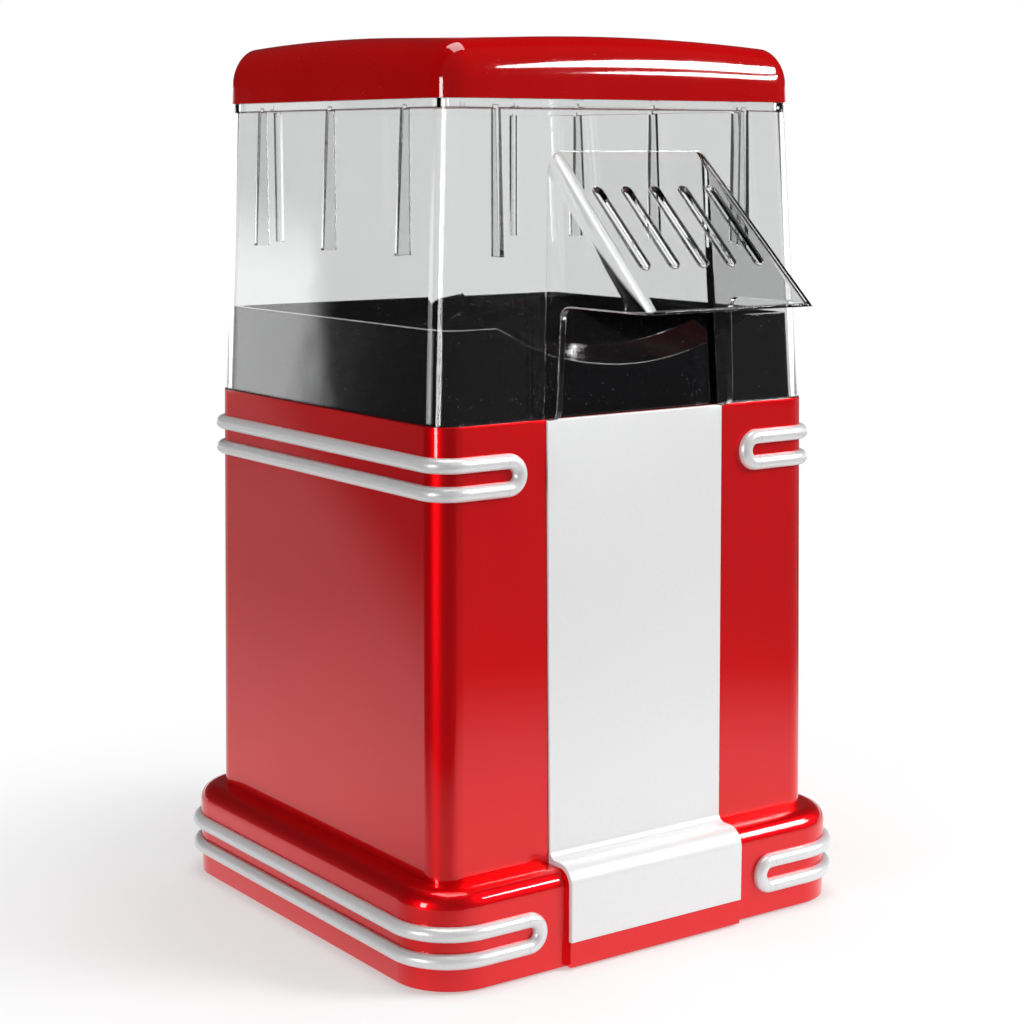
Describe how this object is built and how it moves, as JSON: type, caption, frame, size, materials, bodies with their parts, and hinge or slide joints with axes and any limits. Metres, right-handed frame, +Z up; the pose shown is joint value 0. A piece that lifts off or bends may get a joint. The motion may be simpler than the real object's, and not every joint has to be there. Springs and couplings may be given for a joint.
{
  "type": "hot-air popcorn maker",
  "caption": "Retro upright hot-air popcorn maker: red body on a wider plinth, silver front strip and rod trims, black tray, clear lift-off hood with a sloping spout and a red lid.",
  "frame": {"origin": "on the table under the popping chamber's upright axis, which is the middle of the plinth; the feet stand at Z 0 and the plinth's rim is 1 mm above", "axes": "+Z up; the spout faces -Y; +X is to the right seen from the front"},
  "size_m": [0.1842, 0.2102, 0.302],
  "materials": {
    "candy_red": "metallic lacquer, gloss",
    "lid_red": "gloss",
    "silver_white": "pearl satin",
    "satin_silver": "satin silver",
    "gloss_black": "gloss",
    "clear": "clear",
    "black_plastic": "fine grain",
    "aluminium": "drawn",
    "steel": "zinc plated",
    "laminations": "bare",
    "ferrite": "matt",
    "mica": "matt",
    "heating_wire": "oxidised",
    "silicone": "matt",
    "rubber": "matt",
    "brass": "bare",
    "circuit": "satin",
    "cut_out": "matt",
    "brown_wire": "satin",
    "blue_wire": "satin",
    "fan_plastic": "natural"
  },
  "bodies": {
    "housing": {"base_plinth": "candy_red", "body_shell": "candy_red", "front_panel": "silver_white", "upper_trim_left": "satin_silver", "upper_trim_right": "satin_silver", "lower_trim_left": "satin_silver", "lower_trim_right": "satin_silver", "chamber_tray": "gloss_black", "bottom_plate": "black_plastic", "rubber_feet": "rubber", "popping_chamber": "aluminium", "chamber_gasket": "silicone", "heater_shroud": "steel", "heater_board": "mica", "heater_coil": "heating_wire", "thermostat": "cut_out", "thermal_fuse": "cut_out", "fan_duct": "black_plastic", "motor_can": "steel", "motor_end_cap": "black_plastic", "motor_bushings": "brass", "motor_magnets": "ferrite", "motor_bracket": "steel", "rectifier_board": "circuit", "switch_housing": "black_plastic", "switch_terminals": "brass", "cord_gland": "black_plastic", "live_lead": "brown_wire", "switched_lead": "brown_wire", "neutral_lead": "blue_wire", "base_screws": "steel", "body_screws": "steel", "tray_screws": "steel", "chamber_screws": "steel", "duct_screws": "steel", "bracket_screws": "steel", "motor_screws": "steel"},
    "hood": {"clear_hood": "clear"},
    "lid": {"hood_lid": "lid_red"},
    "fan": {"fan_impeller": "fan_plastic", "fan_clip": "steel", "motor_shaft": "steel", "motor_rotor": "laminations"},
    "switch": {"switch_rocker": "black_plastic"}
  },
  "joints": [
    {"name": "hood_lift", "type": "slide", "parent": "housing", "child": "hood", "axis": [0, 0, 1], "range_m": [0, 0.12]},
    {"name": "lid_lift", "type": "slide", "parent": "hood", "child": "lid", "axis": [0, 0, 1], "range_m": [0, 0.06]},
    {"name": "fan_spin", "type": "hinge", "parent": "housing", "child": "fan", "pos_m": [0, 0, 0.07], "axis": [0, 0, 1], "continuous": true},
    {"name": "switch_rock", "type": "hinge", "parent": "housing", "child": "switch", "pos_m": [0.02, 0.08425, 0.017], "axis": [1, 0, 0], "range_deg": [0, 14]}
  ]
}
